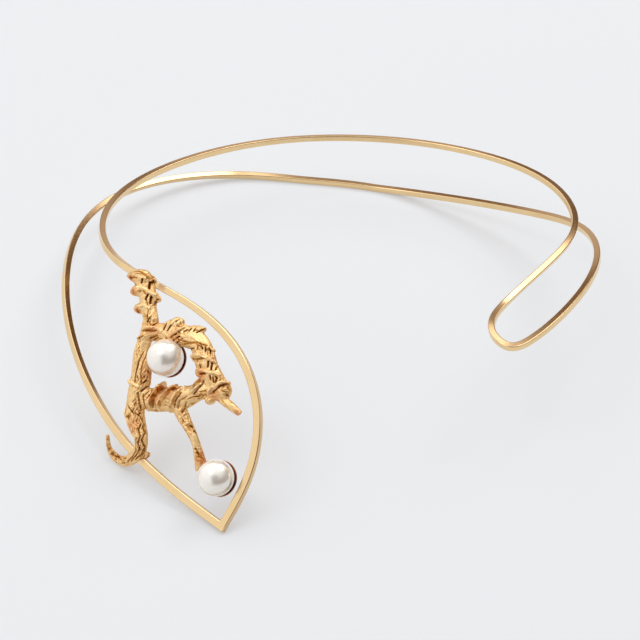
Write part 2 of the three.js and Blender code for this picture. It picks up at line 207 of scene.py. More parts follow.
# %% Section of the wire
# Each corner is a small arc with one more point on the flat at either end, which keeps the flats flat
# when the mesh is shaded smooth.
WIRE_EDGE_RADIUS = 0.2
EDGE_STEPS = 3
EDGE_LEAD = 0.06
CORNER_TURNS = [0, *np.linspace(0, 90, EDGE_STEPS + 1), 90]
CORNER_LEADS = [-EDGE_LEAD] + [0.0] * (EDGE_STEPS + 1) + [EDGE_LEAD]
SECTION_TURNS = np.radians([start + turn for start in (0, 90, 180, 270) for turn in CORNER_TURNS])
SECTION_LEADS = np.array(CORNER_LEADS * 4)


def wire_section(width, depth):
    """Points round a square section with rounded edges, as (off the broad face, across it)."""
    quarter = np.repeat(np.arange(4), len(CORNER_TURNS))
    off_way = np.array([1, -1, -1, 1])[quarter]
    across_way = np.array([1, 1, -1, -1])[quarter]
    off = off_way * (depth / 2 - WIRE_EDGE_RADIUS) + WIRE_EDGE_RADIUS * np.cos(SECTION_TURNS)
    across = across_way * (width / 2 - WIRE_EDGE_RADIUS) + WIRE_EDGE_RADIUS * np.sin(SECTION_TURNS)
    off += -np.sin(SECTION_TURNS) * SECTION_LEADS
    across += np.cos(SECTION_TURNS) * SECTION_LEADS
    return np.column_stack([off, across])


# %% Meshes from rings
def mesh_object(name, points, faces):
    """A new mesh object from points in mm."""
    mesh = bpy.data.meshes.new(name)
    mesh.from_pydata((np.asarray(points) * MM).tolist(), [], faces)
    mesh.validate()
    obj = bpy.data.objects.new(name, mesh)
    bpy.context.scene.collection.objects.link(obj)
    return obj


def keep_on_points(obj, name, values):
    """Keeps one value on each point of a mesh, for its finish to read."""
    layer = obj.data.attributes.new(name, "FLOAT", "POINT")
    layer.data.foreach_set("value", values)


def ring_faces(ring_count, side_count):
    """Quads that join each ring to the next one."""
    faces = []
    for ring in range(ring_count - 1):
        for side in range(side_count):
            a = ring * side_count + side
            b = ring * side_count + (side + 1) % side_count
            faces.append((a, b, b + side_count, a + side_count))
    return faces


def closed_tube(rings, ends):
    """Rings joined into a tube, with each end closed by a fan round one point."""
    ring_count, side_count = rings.shape[:2]
    points = np.vstack([rings.reshape(-1, 3), ends])
    faces = ring_faces(ring_count, side_count)
    first_end, last_end = len(points) - 2, len(points) - 1
    last_ring = (ring_count - 1) * side_count
    for side in range(side_count):
        following = (side + 1) % side_count
        faces.append((first_end, following, side))
        faces.append((last_end, last_ring + side, last_ring + following))
    return points, faces


# %% Sweep the wire
WIRE_RING_SPACING = 0.9


def wire_ring(centre, face, side, width, depth):
    section = wire_section(width, depth)
    return centre + section[:, :1] * face + section[:, 1:] * side


def mitred_tip():
    """The ring at the leaf's tip, where the wire's two ends are filed at a slant and soldered."""
    right_side = np.cross(wire_line.direction([0.01])[0], leaf_front)
    left_side = np.cross(wire_line.direction([wire_line.length - 0.01])[0], leaf_front)
    mitre = (right_side + left_side) / (1 + right_side @ left_side)
    start = wire_line.rows[0]
    return wire_ring(start[:3], leaf_front, mitre, start[4], start[5])


def sweep_wire():
    count = int(wire_line.length / WIRE_RING_SPACING)
    places = np.linspace(0, wire_line.length, count + 1)[1:-1]
    rows = wire_line.at(places)
    along = wire_line.direction(places)
    left = unit(np.cross(UP, along))
    above = np.cross(along, left)
    turn = np.radians(rows[:, 3:4])
    face = left * np.cos(turn) + above * np.sin(turn)
    side = np.cross(along, face)
    # The lower row's back lies on the surface, so no part of the wire is lower than that.
    rows[:, 2] = np.maximum(rows[:, 2], rows[:, 5] / 2)
    rings = [
        wire_ring(row[:3], face[i], side[i], row[4], row[5]) for i, row in enumerate(rows)
    ]
    tip = mitred_tip()
    side_count = len(tip)
    faces = ring_faces(len(rings) + 1, side_count)
    # Both arms of the leaf end in the tip's ring. The wire comes back to it half a turn round, so
    # its last quads meet that ring shifted by half.
    last = len(rings) * side_count
    for side_number in range(side_count):
        a = last + side_number
        b = last + (side_number + 1) % side_count
        c = (side_number + 1 + side_count // 2) % side_count
        d = (side_number + side_count // 2) % side_count
        faces.append((a, b, c, d))
    wire = mesh_object("neck_wire", np.vstack([tip] + rings), faces)
    # How much each point lies on a narrow face, which the finish tints deeper as painted shade.
    keep_on_points(wire, "narrow_side_shade", np.tile(np.sin(SECTION_TURNS) ** 2, len(rings) + 1))
    return wire


neck_wire = sweep_wire()
print("wire quads:", len(neck_wire.data.polygons))

# %% Tidy a mesh's faces and shading
def finish_mesh(obj, sharp_angle):
    """Faces turned out, smooth shading, and edges kept crisp above an angle in degrees."""
    shape = bmesh.new()
    shape.from_mesh(obj.data)
    bmesh.ops.recalc_face_normals(shape, faces=shape.faces)
    shape.to_mesh(obj.data)
    shape.free()
    obj.data.shade_smooth()
    obj.data.set_sharp_from_angle(angle=np.radians(sharp_angle))
    return obj


finish_mesh(neck_wire, sharp_angle=40)
print("crisp edges on the wire:", sum(edge.use_edge_sharp for edge in neck_wire.data.edges))

# %% [markdown]
# ## The cast branch
# The branch was cast from a real twig or from wax that was pulled and scored, so no two parts of it
# are alike: shells and flanges stand across it, and fine wavy bark runs along it. Each limb is first
# lofted as a plain tube. The tubes, flanges and discs are melted into one skin with a voxel remesh,
# which gives the soft joins of cast metal. Then the bark is raised on that skin.

# %% Stations of the limbs
# Leaf coordinates in mm. width is across the limb in the leaf's plane, depth is off the plane.
LIMBS = {
    "trunk": [
        # across, along, lift, width, depth
        [-43.3, 40.9, 0.2, 3.2, 2.4],
        [-42.3, 40.1, 0.6, 4.4, 3.2],
        [-40.6, 38.6, 0.9, 4.4, 3.0],
        [-38.9, 36.7, 1.0, 4.2, 3.0],
        [-37.5, 34.7, 1.2, 3.7, 2.8],
        [-36.0, 32.8, 1.3, 3.8, 2.8],
        [-35.2, 30.6, 1.3, 4.2, 3.0],
        [-34.8, 28.6, 1.4, 3.8, 2.8],
    ],
    "arch": [
        [-35.4, 30.2, 1.3, 3.4, 2.6],
        [-31.0, 31.6, 1.5, 4.6, 3.2],
        [-26.5, 32.8, 1.7, 5.0, 3.4],
        [-22.4, 32.8, 1.8, 4.7, 3.4],
        [-19.6, 30.6, 1.8, 4.9, 3.6],
        [-17.5, 28.3, 1.7, 5.1, 3.6],
        [-14.6, 26.6, 1.6, 4.8, 3.4],
        [-11.2, 25.4, 1.4, 3.0, 2.6],
    ],
    "spike": [
        [-26.4, 33.3, 1.6, 3.0, 2.2],
        [-24.5, 34.5, 1.9, 2.9, 2.0],
        [-23.1, 35.4, 2.0, 2.1, 1.6],
        [-21.9, 36.2, 2.1, 0.8, 0.8],
    ],
    "finger": [
        [-13.8, 24.9, 1.5, 2.6, 2.2],
        [-12.0, 24.1, 1.5, 2.0, 1.8],
        [-10.3, 23.7, 1.4, 2.0, 1.8],
        [-8.4, 23.3, 1.2, 1.8, 1.6],
        [-6.6, 22.9, 1.0, 1.3, 1.1],
    ],
    "crossbar": [
        [-10.9, 26.0, 1.5, 3.2, 2.6],
        [-13.3, 25.3, 1.5, 4.3, 3.2],
        [-17.0, 23.7, 1.6, 3.7, 3.0],
        [-19.9, 21.1, 1.6, 4.9, 3.4],
        [-22.5, 19.5, 1.6, 5.3, 3.2],
        [-25.4, 18.1, 1.6, 5.4, 2.8],
        [-28.5, 17.0, 1.5, 4.8, 3.0],
        [-31.6, 16.9, 1.4, 3.0, 2.4],
    ],
    "leftLimb": [
        [-35.2, 29.0, 1.4, 3.2, 2.6],
        [-34.7, 25.6, 1.5, 3.7, 3.0],
        [-32.9, 22.0, 1.5, 4.7, 3.2],
        [-31.6, 17.9, 1.5, 4.9, 3.4],
        [-30.3, 13.4, 1.5, 4.5, 3.3],
        [-28.5, 10.9, 1.6, 4.4, 3.0],
        [-25.9, 8.4, 1.7, 3.0, 2.7],
        [-25.4, 5.8, 1.3, 3.0, 2.6],
        [-27.2, 3.4, -0.1, 2.7, 2.4],
        [-30.5, 1.7, -2.2, 2.2, 2.06],
        [-33.1, 1.9, -2.4, 1.6, 1.6],
        [-34.8, 3.2, -2.0, 1.2, 1.2],
        [-35.5, 5.6, -0.6, 0.7, 0.7],
    ],
    "stem": [
        [-22.4, 19.8, 1.6, 3.2, 2.6],
        [-19.6, 17.6, 1.6, 3.1, 2.4],
        [-17.5, 16.1, 1.5, 2.7, 2.1],
        [-15.6, 14.8, 1.4, 2.3, 1.9],
        [-13.8, 13.3, 1.2, 2.0, 1.8],
        [-12.4, 11.6, 0.8, 2.2, 1.8],
        [-11.1, 9.7, 0.3, 2.9, 1.8],
        [-10.2, 8.2, -0.3, 3.3, 1.4],
    ],
}
limb_lines = {name: SpringLine(rows) for name, rows in LIMBS.items()}
for name, line in limb_lines.items():
    print(f"{name}: {line.length:.0f} mm long")

# %% Flanges, shells and discs
# turn is the angle of the long way in degrees, from across towards along.
KNOBS = [
    # across, along, lift, turn, long, wide, thick
    [-42.6, 40.2, 0.8, 11, 7.4, 3.0, 4.0],
    [-43.2, 41.0, 0.6, 17, 4.6, 2.2, 3.0],
    [-41.6, 37.4, 1.0, 26, 4.6, 2.4, 3.6],
    [-38.1, 38.0, 1.0, -11, 4.0, 1.7, 3.2],
    [-36.7, 37.5, 1.0, 6, 1.7, 1.7, 2.0],
    [-39.3, 34.2, 1.1, 28, 3.8, 2.6, 3.2],
    [-34.7, 31.2, 1.6, 26, 4.5, 1.1, 3.5],
    [-35.1, 28.9, 1.5, 31, 4.8, 1.5, 3.4],
    [-31.0, 33.1, 1.7, 74, 4.0, 1.9, 2.8],
    [-29.9, 33.8, 1.8, 76, 4.7, 2.0, 2.8],
    [-28.6, 34.2, 1.8, 82, 3.9, 2.0, 2.6],
    [-20.3, 32.7, 1.8, 1, 4.9, 1.0, 4.0],
    [-19.1, 30.5, 1.9, 3, 6.0, 1.0, 4.2],
    [-17.1, 27.9, 1.9, 17, 5.9, 1.0, 4.2],
    [-21.6, 29.5, 1.7, -30, 2.3, 1.6, 2.6],
    [-19.1, 26.9, 1.7, -18, 2.2, 1.7, 2.6],
    [-18.5, 24.3, 1.7, 79, 4.6, 1.0, 4.2],
    [-14.5, 24.9, 1.7, 81, 3.2, 0.9, 4.2],
    [-12.8, 27.2, 1.6, 31, 3.2, 0.9, 3.8],
    [-11.7, 25.8, 1.5, 92, 3.4, 2.6, 3.4],
    [-14.3, 22.6, 1.5, 29, 2.4, 1.8, 2.6],
    [-26.7, 18.3, 1.7, 83, 7.8, 1.1, 5.0],
    [-24.2, 19.0, 1.7, 75, 7.9, 1.1, 5.0],
    [-21.8, 19.6, 1.7, 88, 6.6, 1.1, 4.6],
    [-33.4, 18.7, 1.5, 7, 3.3, 1.0, 3.2],
    [-31.3, 12.6, 1.4, 108, 4.2, 2.6, 3.0],
    [-24.0, 5.6, 0.5, 45, 2.5, 1.3, 1.7],
]
print("flanges, shells and discs:", len(KNOBS))

# %% Loft the limbs
LIMB_SIDES = 24
LIMB_RING_SPACING = 0.4
LIFT_WAY = np.array([0.0, 0.0, 1.0])


def limb_frames(line, places):
    """Centres, side ways and front ways of a limb's sections, in leaf coordinates."""
    centres = line.at(places)
    run = line.direction(np.clip(places, 0.02, line.length - 0.02))
    side = unit(np.cross(LIFT_WAY, run))
    return centres, side, np.cross(run, side)


def limb_tube(line):
    """A limb as a tube of flattened rings."""
    count = int(np.ceil(line.length / LIMB_RING_SPACING))
    places = np.linspace(0, line.length, count + 1)
    centres, side, front = limb_frames(line, places)
    angles = np.arange(LIMB_SIDES) * 2 * np.pi / LIMB_SIDES
    width, depth = centres[:, 3:4, None] / 2, centres[:, 4:5, None] / 2
    rings = (
        centres[:, None, :3]
        + side[:, None] * np.cos(angles)[None, :, None] * width
        + front[:, None] * np.sin(angles)[None, :, None] * depth
    )
    return closed_tube(rings, [centres[0, :3], centres[-1, :3]])


# %% Press the flanges and put everything together
def knob_lump(across, along, lift, turn, long, wide, thick):
    """A flange, disc or lump: a ball pressed long one way and thin the other way."""
    shape = bmesh.new()
    bmesh.ops.create_uvsphere(shape, u_segments=32, v_segments=16, radius=0.5)
    ball = np.array([v.co for v in shape.verts])
    faces = [tuple(v.index for v in f.verts) for f in shape.faces]
    shape.free()
    angle = np.radians(turn)
    long_way = np.array([np.cos(angle), np.sin(angle), 0])
    wide_way = np.array([-np.sin(angle), np.cos(angle), 0])
    points = [across, along, lift] + (
        ball[:, :1] * long * long_way + ball[:, 1:2] * wide * wide_way + ball[:, 2:] * thick * LIFT_WAY
    )
    return points, faces


def gather(shapes):
    """Several shapes as one list of points and one of faces."""
    points, faces = [], []
    start = 0
    for shape_points, shape_faces in shapes:
        points.append(shape_points)
        faces += [tuple(start + i for i in face) for face in shape_faces]
        start += len(shape_points)
    return np.vstack(points), faces


branch_points, branch_faces = gather(
    [limb_tube(line) for line in limb_lines.values()] + [knob_lump(*row) for row in KNOBS]
)
cast_branch = mesh_object("cast_branch", from_leaf(branch_points), branch_faces)
finish_mesh(cast_branch, sharp_angle=180)
print("points before melting:", len(branch_points))

# %% Melt them into one skin
SKIN_VOXEL = 0.17
SOFTENING = 0.5
SOFTENING_ROUNDS = 3


def apply_modifiers(obj):
    """Puts what the modifiers make into the object's own mesh."""
    evaluated = obj.evaluated_get(bpy.context.evaluated_depsgraph_get())
    mesh = bpy.data.meshes.new_from_object(evaluated)
    obj.modifiers.clear()
    obj.data = mesh


def melt(obj):
    """Joins the crossing shapes of a mesh into one skin with soft joins."""
    remesh = obj.modifiers.new("melt", "REMESH")
    remesh.mode = "VOXEL"
    remesh.voxel_size = SKIN_VOXEL * MM
    soften = obj.modifiers.new("soften", "SMOOTH")
    soften.factor = SOFTENING
    soften.iterations = SOFTENING_ROUNDS
    apply_modifiers(obj)


melt(cast_branch)
print("skin quads:", len(cast_branch.data.polygons))

# %% [markdown]
# ## Bark on the skin
# Every point of the skin belongs to a limb: it has a place along it and an angle round it. Ridges
# written in those two numbers run along or across the limb whichever way it bends, as bark does. A
# texture in space would ignore the bends. Where two limbs meet, their ridges are mixed by nearness.

# %% Smooth noise
# Large odd numbers, which stir the numbers of each cell into an even mix.
CELL_STIRRERS = np.array([73856093, 19349663, 83492791])
SEED_STIRRER = 2654435761
LAST_STIRRER = 1274126177


def lattice_noise(points, size, seed):
    """Smooth random values from -1 to 1, with lumps of about this size in mm."""
    scaled = np.asarray(points) / size
    cell = np.floor(scaled).astype(np.int64)
    part = scaled - cell
    ease = part * part * (3 - 2 * part)
    total = np.zeros(len(points))
    for corner in np.ndindex(2, 2, 2):
        weight = np.prod(np.where(np.array(corner) == 1, ease, 1 - ease), axis=1)
        spot = (cell + np.array(corner)) * CELL_STIRRERS
        mixed = np.bitwise_xor.reduce(spot, axis=1) ^ seed * SEED_STIRRER
        mixed = (mixed ^ (mixed >> 13)) * LAST_STIRRER & 0x7FFFFFFF
        total += weight * (mixed % 65536 / 32767.5 - 1)
    return total


def bark_noise(points, size, seed):
    """Noise with finer lumps on its lumps."""
    return lattice_noise(points, size, seed) + 0.5 * lattice_noise(points, size / 2, seed + 1)


# %% Where each point of the skin is on its limb
def skin_points(obj):
    flat = np.empty(len(obj.data.vertices) * 3)
    obj.data.vertices.foreach_get("co", flat)
    return flat.reshape(-1, 3) / MM


def to_leaf(points):
    return (points - LEAF_ORIGIN) @ LEAF_AXES.T


SEARCH_STEP = 0.15
SEARCH_MARGIN = 0.6
POINTS_AT_ONCE = 20000


def place_on_limb(points, line):
    """Distance along the limb, angle round it, distance off its middle in radii, and its radius."""
    places = np.arange(0, line.length, SEARCH_STEP)
    centres, side, front = limb_frames(line, places)
    reach = SEARCH_MARGIN + centres[None, :, 3] / 2
    nearest = []
    for start in range(0, len(points), POINTS_AT_ONCE):
        block = points[start : start + POINTS_AT_ONCE, None]
        gaps = np.linalg.norm(block - centres[None, :, :3], axis=2)
        nearest.append((gaps / reach).argmin(axis=1))
    nearest = np.concatenate(nearest)
    out = points - centres[nearest, :3]
    across = (out * side[nearest]).sum(1) / (centres[nearest, 3] / 2)
    forward = (out * front[nearest]).sum(1) / (centres[nearest, 4] / 2)
    radius = (centres[nearest, 3] + centres[nearest, 4]) / 4
    return places[nearest], np.arctan2(forward, across), np.hypot(across, forward), radius


# %% Ridges, grooves and pits
def ridges(phase):
    """Rounded ridges with sharp grooves between them, from -1 in a groove to 0.4 on a ridge."""
    return 1.4 * np.abs(np.sin(np.pi * phase)) ** 0.55 - 1


# along and across are the spacing in mm of ridges that run along the limb and across it. wave and
# length are how far the ridges swing and over what distance. pits is the depth of scattered pits.
BARK = {
    #            along, depth, across, depth, wave, length, pits
    "trunk":    [0.70, 0.06, 0.80, 0.05, 0.30, 2.6, 0.12],
    "arch":     [0.58, 0.10, 1.30, 0.04, 0.35, 2.6, 0.05],
    "spike":    [0.60, 0.06, 0.80, 0.05, 0.10, 2.0, 0.03],
    "finger":   [0.70, 0.05, 1.50, 0.03, 0.20, 3.0, 0.02],
    "crossbar": [0.58, 0.09, 1.40, 0.03, 0.35, 2.2, 0.05],
    "leftLimb": [0.64, 0.16, 1.20, 0.03, 0.45, 2.2, 0.06],
    "stem":     [0.80, 0.05, 0.90, 0.05, 0.30, 2.4, 0.19],
}
LIMB_MIX = 7.0
DRIFT_SIZE = 1.9
PATCH_SIZE = 2.3
PIT_SIZE = 0.85
GRAIN_LENGTH = 1.5
GRAIN_WIDTH = 0.36
GRAIN_DEPTH = 0.07


def bark_height(points, name, place):
    """Height in mm of one limb's bark at these points."""
    along_pitch, along_depth, across_pitch, across_depth, wave, length, pits = BARK[name]
    distance, angle, _, radius = place
    seed = list(BARK).index(name) * 10
    drift = bark_noise(points, DRIFT_SIZE, seed)
    swing = wave * np.sin(2 * np.pi * distance / length + 1.5 * drift)
    round_count = np.maximum(np.round(2 * np.pi * radius.mean() / along_pitch), 5)
    lengthwise = ridges(angle * round_count / (2 * np.pi) + swing + 0.35 * drift)
    crosswise = ridges(distance / across_pitch + 0.25 * np.sin(angle * 2 + seed) + 0.4 * drift)
    run = np.column_stack([
        distance / GRAIN_LENGTH + 0.4 * drift, np.cos(angle) * radius / GRAIN_WIDTH,
        np.sin(angle) * radius / GRAIN_WIDTH,
    ])
    grain = 0.5 - 3 * np.abs(lattice_noise(run, 1.0, seed + 3))
    patch = np.clip(0.75 + 1.1 * lattice_noise(points, PATCH_SIZE, seed + 7), 0.15, 1.4)
    pit_spots = np.clip(bark_noise(points, PIT_SIZE, seed + 5) - 0.5, 0, 0.5) * 2
    ridged = along_depth * lengthwise + across_depth * crosswise + GRAIN_DEPTH * grain
    return patch * ridged - pits * pit_spots


# %% [markdown]
# ## Marks of the wax tool
# Over the bark lie marks that were made one by one in the wax: thin cords laid on it, long wavy grooves
# and short deep cuts. No pattern would put them where they belong, and a sculpting brush would leave
# nothing to read, so each mark is a row of a table and is raised or cut by its rounded profile.

# %% Cords laid on the wax
# Height, width and the places that each passes through, as across and along in mm.
CORDS = {
    "cap rim": [0.22, 0.8, [[-45.6, 39.4], [-44.2, 40.1], [-42.4, 40.5], [-40.8, 40.6]]],
    "upper flange": [0.3, 1.0, [[-42.8, 37.6], [-41.5, 38.4], [-39.8, 38.4], [-36.9, 38.2]]],
    "lower flange": [0.22, 0.9, [[-40.2, 33.5], [-39.5, 34.5], [-38.4, 35.0], [-37.0, 35.0]]],
    "shoulder": [0.28, 0.9, [[-35.9, 30.6], [-34.3, 31.4], [-32.6, 31.9], [-31.1, 31.7], [-29.8, 31.2]]],
    "under shoulder": [0.2, 0.7, [[-34.8, 29.2], [-33.7, 30.1], [-32.4, 30.9]]],
    "crest foot": [0.22, 0.7, [[-29.3, 31.2], [-28.5, 32.2], [-27.5, 33.6], [-26.6, 34.5]]],
    "first band": [0.35, 0.8, [[-22.0, 29.6], [-20.7, 30.3], [-19.2, 31.1], [-18.1, 31.0], [-15.7, 30.6]]],
    "second band": [0.35, 0.8, [[-19.5, 27.4], [-18.4, 27.9], [-16.9, 28.2], [-14.1, 28.5]]],
    "strap": [0.28, 0.8, [[-18.4, 22.5], [-18.0, 23.7], [-17.6, 25.1], [-17.2, 26.5]]],
    "knee loop": [0.35, 0.9, [[-14.7, 23.8], [-14.1, 25.2], [-13.3, 26.8], [-12.2, 27.9], [-10.9, 28.5]]],
    "first disc": [0.3, 0.6, [[-26.6, 15.4], [-27.0, 17.1], [-27.2, 18.4], [-26.9, 20.0], [-26.1, 21.2]]],
    "second disc": [0.3, 0.6, [[-24.5, 16.0], [-24.9, 18.1], [-24.4, 20.6], [-23.6, 21.8], [-22.4, 22.6]]],
    "third disc": [0.3, 0.7, [[-21.5, 18.3], [-21.8, 19.7], [-21.6, 21.3], [-21.0, 22.9]]],
    "outer swirl": [0.2, 0.6, [[-20.6, 18.4], [-20.7, 19.8], [-20.0, 21.2], [-18.8, 22.1]]],
    "middle swirl": [0.2, 0.6, [[-19.5, 17.5], [-19.3, 18.8], [-19.4, 19.8], [-18.7, 20.9]]],
    "inner swirl": [0.2, 0.6, [[-18.3, 17.3], [-18.1, 18.6], [-18.1, 19.7]]],
    "lip": [0.25, 0.9, [[-34.0, 18.5], [-32.8, 18.6], [-31.1, 18.5]]],
}
print("cords:", len(CORDS))

# %% Long wavy grooves
# Width, depth and the places that each passes through.
GROOVES = {
    "dome, lower": [0.38, 0.18, [[-44.3, 39.0], [-43.2, 40.2], [-41.4, 40.7]]],
    "dome, middle": [0.38, 0.18, [[-44.7, 39.3], [-43.7, 40.6], [-42.0, 41.3], [-40.0, 41.2]]],
    "dome, upper": [0.38, 0.18, [[-44.8, 40.7], [-43.5, 41.4], [-41.6, 41.5], [-39.7, 41.2]]],
    "trunk": [0.38, 0.16, [[-38.3, 36.4], [-36.9, 34.8], [-36.2, 32.9], [-34.5, 31.7]]],
    "arch": [0.38, 0.15, [[-26.5, 31.6], [-24.5, 31.9], [-22.6, 32.5], [-20.4, 32.4]]],
    "bar, upper": [0.38, 0.17, [[-18.9, 20.6], [-17.6, 21.9], [-15.9, 22.8], [-14.4, 24.2]]],
    "bar, lower": [0.38, 0.17, [[-17.7, 20.2], [-16.4, 21.5], [-14.9, 22.3]]],
    "thigh, left": [0.38, 0.17, [[-33.6, 25.8], [-33.6, 23.5], [-33.0, 20.8], [-32.4, 19.0]]],
    "thigh, right": [0.38, 0.17, [[-32.9, 26.6], [-32.6, 23.9], [-31.9, 21.3], [-30.7, 19.6]]],
    "hip": [0.38, 0.17, [[-31.0, 22.6], [-29.6, 21.5], [-29.3, 20.0], [-27.7, 19.0], [-27.5, 17.4]]],
    "limb, outer": [0.42, 0.2, [[-26.6, 8.4], [-26.3, 6.8], [-25.5, 5.8], [-26.2, 4.1], [-27.4, 2.6]]],
    "limb, left": [
        0.42, 0.2, [[-27.0, 11.5], [-26.8, 10.1], [-25.8, 9.2], [-25.7, 7.5], [-24.7, 6.5], [-25.2, 4.9],
        [-26.3, 3.2]],
    ],
    "limb, middle": [
        0.42, 0.2, [[-26.7, 12.6], [-26.3, 11.1], [-25.3, 10.1], [-25.1, 8.5], [-24.0, 7.3], [-24.1, 5.6],
        [-25.2, 3.9]],
    ],
    "limb, right": [0.42, 0.18, [[-25.7, 12.1], [-25.3, 10.6], [-24.2, 9.4], [-23.9, 7.9], [-23.3, 6.5]]],
    "elbow, left": [
        0.42, 0.18, [[-30.6, 17.4], [-29.5, 15.6], [-28.6, 14.3], [-28.3, 13.1], [-27.0, 12.2]],
    ],
    "elbow, right": [
        0.42, 0.18, [[-29.4, 17.6], [-28.5, 16.2], [-27.6, 14.8], [-27.3, 13.7], [-26.4, 13.0]],
    ],
    "finger": [0.3, 0.07, [[-11.4, 24.0], [-10.2, 23.3], [-8.9, 22.8]]],
    "hook": [0.36, 0.2, [[-34.7, 5.1], [-33.6, 3.7], [-31.9, 2.5], [-29.8, 2.0]]],
    "peg": [0.5, 0.3, [[-24.2, 3.7], [-23.6, 4.5], [-23.1, 5.6]]],
}
print("grooves:", len(GROOVES))

